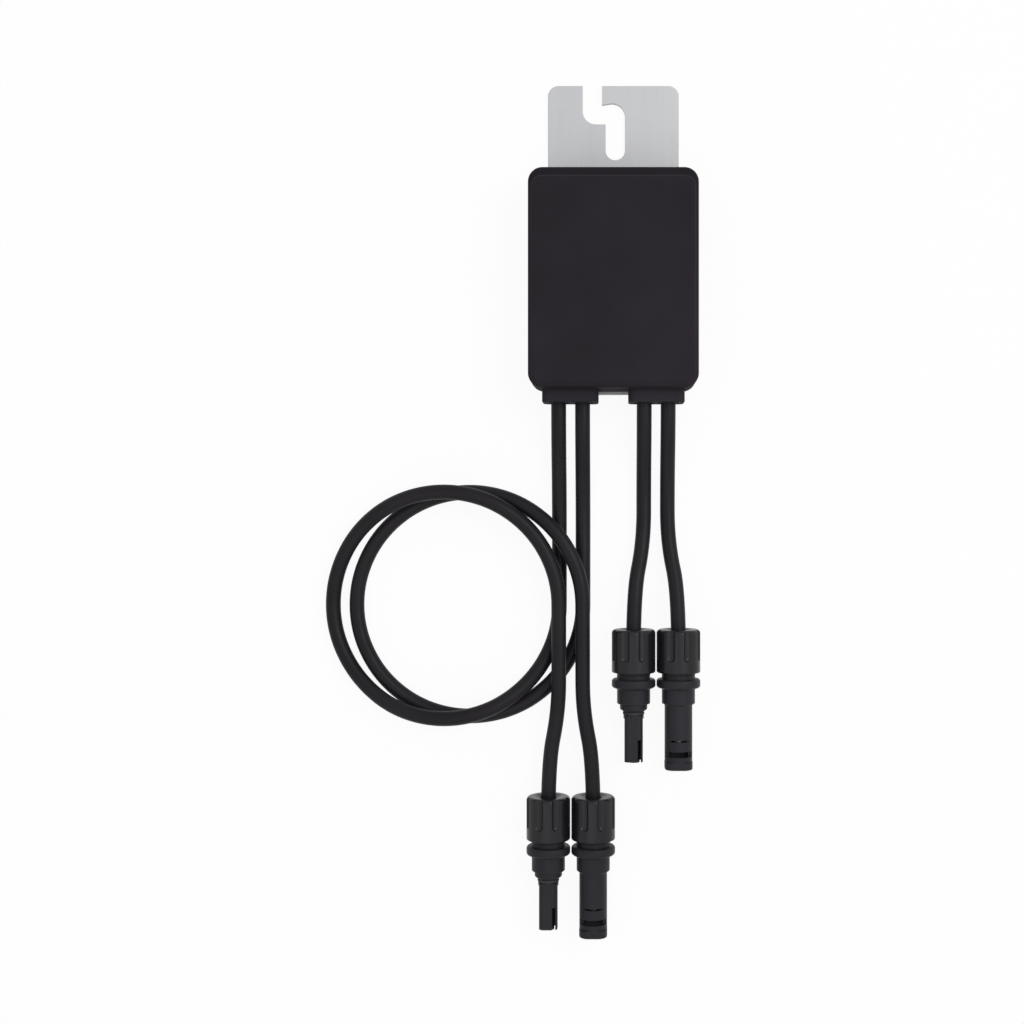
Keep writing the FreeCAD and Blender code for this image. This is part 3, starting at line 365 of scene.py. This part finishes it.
    def bump(self, height, strength, distance, after=None):
        """The surface direction, after another one if given, with relief of some millimetres."""
        node = self.add("ShaderNodeBump")
        node.inputs["Strength"].default_value = strength
        node.inputs["Distance"].default_value = distance * MM
        self.link(height, node.inputs["Height"])
        if after is not None:
            self.link(after, node.inputs["Normal"])
        return node.outputs["Normal"]

    def roughness(self, scale, detail, low, high):
        """Roughness that changes from low to high over the surface."""
        self.set(Roughness=self.ramp(self.noise(scale, detail), low, high, *GLOSS_RANGE))

    def set(self, **values):
        """Numbers, colours or the outputs of nodes, put on the shader's sockets of those names."""
        for key, value in values.items():
            socket = self.surface.inputs[key.replace("_", " ")]
            if hasattr(value, "is_linked"):
                self.link(value, socket)
            else:
                socket.default_value = value


def moulded_plastic(
    name, dark, light, grain=2600.0, rough=(0.52, 0.66), depth=0.04, gloss=0.2, painted_rim_marks=False
):
    """Dark moulded plastic: a fine spark texture, depth millimetres deep, slow changes of tone and
    of gloss, and edges that are rounded and painted a little lighter, as rubbed wear and as a
    painted highlight. The housing's rim switch adds a painted highlight line inside the edge of its
    front and a painted shade strip along its upper edge."""
    m = Nodes(name)
    normal = m.rounded(MOULDED_EDGE_R)
    tone = m.colours(m.noise(18, 3), dark, light)
    if painted_rim_marks:
        line, shade_strip = m.rim_highlight_and_shade_masks()
        # Painted shade on the strip along the rounded upper edge, then the painted highlight line
        # inside the rim
        tone = m.towards(tone, shade_strip, [STRIP_SHADE_TINT * c for c in light], 1)
        tone = m.towards(tone, line, [RIM_HIGHLIGHT_TINT * c for c in light], RIM_HIGHLIGHT_SHARE)
    # Edges painted lighter: partly rubbed wear, partly a painted highlight along every edge
    tone = m.towards(tone, m.edges(normal), [EDGE_WEAR_AND_HIGHLIGHT_TINT * c for c in light], EDGE_WEAR_AND_HIGHLIGHT_SHARE)
    m.set(Base_Color=tone)
    m.roughness(60, 4, *rough)
    m.set(Specular_IOR_Level=gloss)
    fine = m.bump(m.noise(grain, 2), 0.35, depth, after=normal)
    m.set(Normal=m.bump(m.noise(35, 2), 0.06, 0.6, after=fine))
    return m.material


def cable_jacket():
    """Satin extruded jacket: faint lines along the cable and a slightly uneven gloss."""
    m = Nodes("cable_jacket")
    m.set(Base_Color=m.colours(m.noise(25, 3), (0.0108, 0.0095, 0.0117), (0.0158, 0.0140, 0.0166)))
    m.roughness(120, 4, 0.36, 0.46)
    m.set(Specular_IOR_Level=0.11)
    m.set(Normal=m.bump(m.noise(900, 3), 0.12, 0.08))
    return m.material


def rubber():
    m = Nodes("seal_rubber")
    m.set(Base_Color=m.colours(m.noise(300, 3), (0.010, 0.010, 0.011), (0.02, 0.02, 0.021)))
    m.roughness(200, 3, 0.6, 0.8)
    m.set(Normal=m.bump(m.noise(1500, 3), 0.3, 0.05))
    return m.material


def sheet_metal():
    """Satin aluminium sheet: a very fine rolling grain along it and soft cloudy gloss."""
    m = Nodes("plate_metal")
    grain = m.noise(900, 4, 0.6, stretch=(1.0, 0.03, 1.0))
    cloud = m.noise(14, 3)
    normal = m.rounded(PLATE_EDGE_R)
    sheet = m.colours(cloud, (0.494, 0.498, 0.516), (0.542, 0.546, 0.559))
    # Edges painted lighter: a painted highlight along the plate's edges
    m.set(Base_Color=m.towards(sheet, m.edges(normal), (0.71, 0.715, 0.73), 0.6))
    m.set(Metallic=0.25)
    m.set(Roughness=m.ramp(grain, 0.48, 0.64, *GLOSS_RANGE))
    m.set(Normal=m.bump(grain, 0.12, 0.03, after=normal))
    return m.material


def plated_metal(name, dark, light, rough=(0.25, 0.4)):
    m = Nodes(name)
    m.set(Base_Color=m.colours(m.noise(200, 4), dark, light))
    m.set(Metallic=1.0)
    m.roughness(400, 4, *rough)
    m.set(Normal=m.bump(m.noise(1200, 3), 0.1, 0.03))
    return m.material


def circuit_green():
    m = Nodes("solder_resist")
    m.set(Base_Color=m.colours(m.noise(90, 5), (0.008, 0.06, 0.025), (0.015, 0.10, 0.04)))
    m.roughness(300, 3, 0.25, 0.4)
    m.set(Normal=m.bump(m.noise(150, 3), 0.15, 0.1))
    return m.material


def ferrite():
    m = Nodes("ferrite_grey")
    m.set(Base_Color=m.colours(m.noise(500, 5), (0.035, 0.035, 0.037), (0.07, 0.068, 0.066)))
    m.roughness(300, 3, 0.55, 0.75)
    m.set(Normal=m.bump(m.noise(900, 4), 0.3, 0.06))
    return m.material


def copper_turns():
    """Enamelled wire: the turns are ridges round the drum."""
    m = Nodes("copper_turns")
    wave = m.add("ShaderNodeTexWave", bands_direction="Z")
    wave.inputs["Scale"].default_value = 330
    m.link(m.place(), wave.inputs["Vector"])
    m.set(Base_Color=m.colours(m.noise(200, 3), (0.35, 0.11, 0.04), (0.5, 0.18, 0.07)))
    m.set(Metallic=0.8)
    m.roughness(300, 3, 0.3, 0.45)
    m.set(Normal=m.bump(wave.outputs["Fac"], 0.8, 0.4))
    return m.material


def soft_pad():
    m = Nodes("thermal_pad_grey")
    m.set(Base_Color=m.colours(m.noise(400, 4), (0.30, 0.34, 0.38), (0.38, 0.42, 0.46)))
    m.roughness(300, 3, 0.7, 0.85)
    m.set(Normal=m.bump(m.noise(900, 4), 0.3, 0.08))
    return m.material


def make_materials():
    """One material for each slot of the record."""
    return {
        "plate": sheet_metal(),
        "housing": moulded_plastic(
            "housing_black", (0.0200, 0.0172, 0.0216), (0.0250, 0.0216, 0.0272),
            rough=(0.74, 0.86), gloss=0.05, painted_rim_marks=True,
        ),
        "gland": moulded_plastic(
            "gland_black", (0.0240, 0.0207, 0.0262), (0.0303, 0.0264, 0.0330),
            grain=2000, rough=(0.7, 0.82), gloss=0.055,
        ),
        "seal": rubber(),
        "cable": cable_jacket(),
        "coupler": moulded_plastic(
            "coupler_black", (0.014, 0.0125, 0.016), (0.020, 0.0185, 0.023),
            grain=1800, rough=(0.38, 0.5), depth=0.02, gloss=0.14,
        ),
        "nut": moulded_plastic(
            "nut_black", (0.0074, 0.0066, 0.0085), (0.0107, 0.0099, 0.0124),
            grain=1800, rough=(0.24, 0.34), depth=0.01, gloss=0.25,
        ),
        "cage": moulded_plastic(
            "cage_grey", (0.03, 0.03, 0.033), (0.045, 0.045, 0.05), grain=1800,
        ),
        "contact": plated_metal("contact_metal", (0.3, 0.3, 0.29), (0.38, 0.38, 0.37), (0.5, 0.62)),
        "screws": plated_metal("screw_steel", (0.45, 0.45, 0.46), (0.56, 0.56, 0.57)),
        "board": circuit_green(),
        "ferrite": ferrite(),
        "copper": copper_turns(),
        "package": moulded_plastic(
            "package_black", (0.012, 0.012, 0.013), (0.02, 0.02, 0.021), grain=1500,
        ),
        "can": plated_metal("can_aluminium", (0.55, 0.55, 0.57), (0.66, 0.66, 0.68), (0.3, 0.45)),
        "pad": soft_pad(),
        "spreader": plated_metal("spreader_metal", (0.5, 0.5, 0.52), (0.6, 0.6, 0.62), (0.35, 0.5)),
    }


def dress_nodes(materials):
    for row in frame["record"]["subparts"]:
        node = frame["nodes"][row["node"]]
        node.data.materials.clear()
        node.data.materials.append(materials[row["material_slot"]])


# Couplers
def make_thread(name, material):
    """The fine thread on a coupler's spigot: one three-sided ridge wound round it, which rises out
    of the spigot at its start and sinks into it at its end."""
    low, high = (Vector(corner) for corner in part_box(name + "_nut"))
    middle = (low + high) / 2
    body_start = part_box(name + "_body")[1][1]
    turns = (THREAD_END - THREAD_START) / THREAD_PITCH
    steps = round(turns * THREAD_STEPS)
    corners, faces = [], []
    for k in range(steps + 1):
        along = k / steps
        height = min(1, along / THREAD_RUN_OUT, (1 - along) / THREAD_RUN_OUT) * THREAD_HEIGHT
        angle = 2 * math.pi * turns * along
        t = THREAD_START + (THREAD_END - THREAD_START) * along
        for shift, r in ((-0.5, THREAD_FOOT_R), (0, THREAD_R + height), (0.5, THREAD_FOOT_R)):
            corners.append((
                middle.x + r * MM * math.cos(angle),
                body_start - (t + shift * THREAD_PITCH * THREAD_SHARE) * MM,
                middle.z + r * MM * math.sin(angle),
            ))
        if k:
            here, before = 3 * k, 3 * (k - 1)
            for i, j in ((0, 1), (1, 2), (2, 0)):
                faces.append((before + i, here + i, here + j, before + j))
    last = 3 * steps
    faces += [(0, 1, 2), (last, last + 2, last + 1)]
    mesh = bpy.data.meshes.new(name + "_thread")
    mesh.from_pydata(corners, [], faces)
    mesh.polygons.foreach_set("use_smooth", [True] * len(faces))
    mesh.set_sharp_from_angle(angle=math.radians(THREAD_SHARP_DEG))
    mesh.materials.append(material)
    thread = bpy.data.objects.new(name + "_thread", mesh)
    bpy.context.scene.collection.objects.link(thread)
    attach(thread, ROOT)


# Cables
def make_cable(name, material):
    """A cable as one smooth spline along its route, with the coupler's pieces on its end."""
    curve = bpy.data.curves.new(name + "_cord", "CURVE")
    curve.dimensions = "3D"
    curve.bevel_depth = CABLE_D / 2 * MM
    curve.bevel_resolution = 7
    curve.resolution_u = 10
    curve.use_fill_caps = True
    route = ROUTES[name]
    line = curve.splines.new("NURBS")
    line.points.add(len(route) - 1)
    for point, place in zip(line.points, route):
        point.co = (*(Vector(place) * MM), 1)
    line.order_u = 3
    line.use_endpoint_u = True
    line.use_smooth = True
    curve.materials.append(material)
    cord = bpy.data.objects.new(name + "_cord", curve)
    bpy.context.scene.collection.objects.link(cord)
    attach(cord, ROOT)
    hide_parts(name + "_cable")


bpy.context.scene.view_settings.view_transform = "Standard"
make_camera()
make_lights()
make_floor()
MATERIALS = make_materials()
dress_nodes(MATERIALS)
for cable_name in ROUTES:
    make_thread(cable_name, MATERIALS["coupler"])
    make_cable(cable_name, MATERIALS["cable"])
